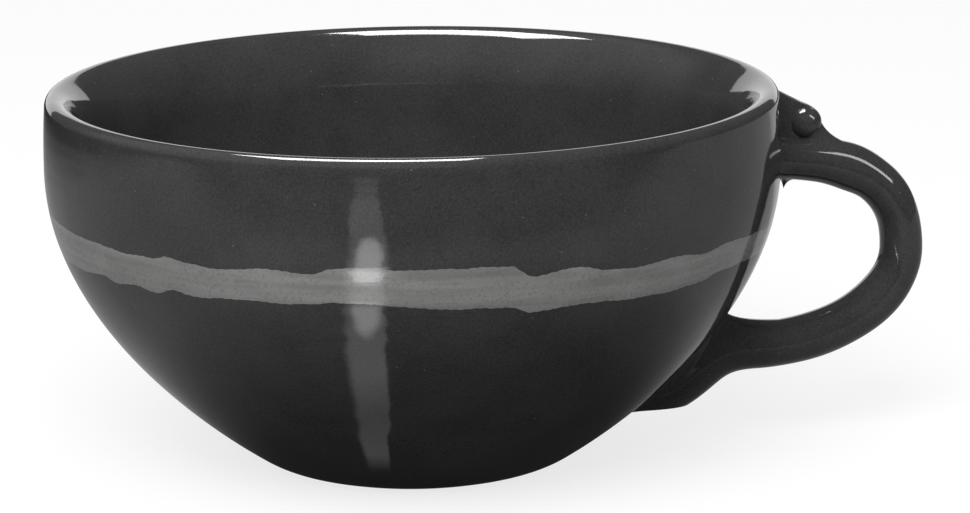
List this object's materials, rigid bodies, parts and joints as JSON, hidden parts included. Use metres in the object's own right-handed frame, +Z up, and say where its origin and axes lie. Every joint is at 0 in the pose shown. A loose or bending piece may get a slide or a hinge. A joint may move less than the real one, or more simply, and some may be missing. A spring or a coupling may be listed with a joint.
{
  "type": "espresso cup",
  "caption": "Wide round stoneware cup in glossy charcoal glaze, with a pale slip band, a pulled loop handle with a thumb bead, and a low bare foot.",
  "frame": {"origin": "on the table under the bowl's axis, at the middle of the foot's flat face", "axes": "+Z up out of the cup's mouth, +X towards the handle"},
  "size_m": [0.0969, 0.0802, 0.0411],
  "materials": {
    "charcoal_glaze": "glossy charcoal glaze with fine pinholes",
    "pale_slip": "pale grey slip under clear glaze, brushed edges",
    "bare_clay": "unglazed fired stoneware, matt"
  },
  "bodies": {
    "root": {"bowl": "charcoal_glaze", "foot": "bare_clay", "slip_band": "pale_slip", "handle": "charcoal_glaze", "thumb_bead": "charcoal_glaze", "upper_slip_seam": "charcoal_glaze", "lower_slip_seam": "charcoal_glaze", "bead_slip_seam": "charcoal_glaze"}
  },
  "joints": []
}
